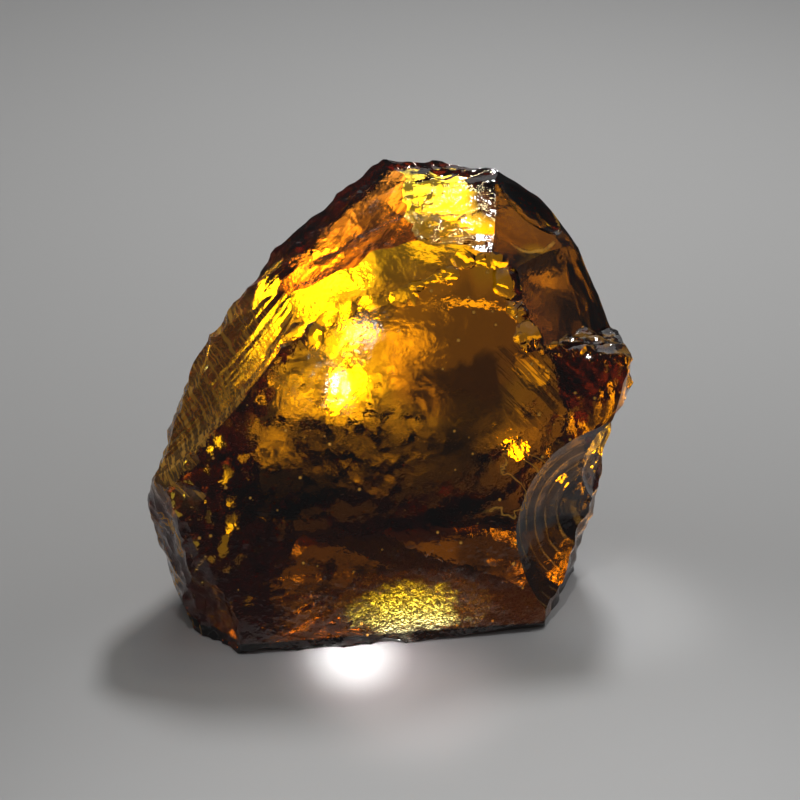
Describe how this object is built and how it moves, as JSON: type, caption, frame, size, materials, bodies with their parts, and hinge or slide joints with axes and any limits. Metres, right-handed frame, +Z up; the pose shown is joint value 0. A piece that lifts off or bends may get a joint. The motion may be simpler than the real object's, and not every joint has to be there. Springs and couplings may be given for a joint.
{
  "type": "rough topaz",
  "caption": "Rough see-through topaz broken on every side, with a large smooth face, a ribbed flute, shell-shaped hollows and chipped edges, standing on a flat break.",
  "frame": {"origin": "middle of the stone's box, on the surface it stands on", "axes": "+Z up, -Y towards the large smooth face, +X to the right of that face"},
  "size_m": [0.0572, 0.0374, 0.0483],
  "materials": {
    "topaz": "clear amber-brown crystal with bright broken faces"
  },
  "bodies": {
    "root": {"stone": "topaz"}
  },
  "joints": []
}
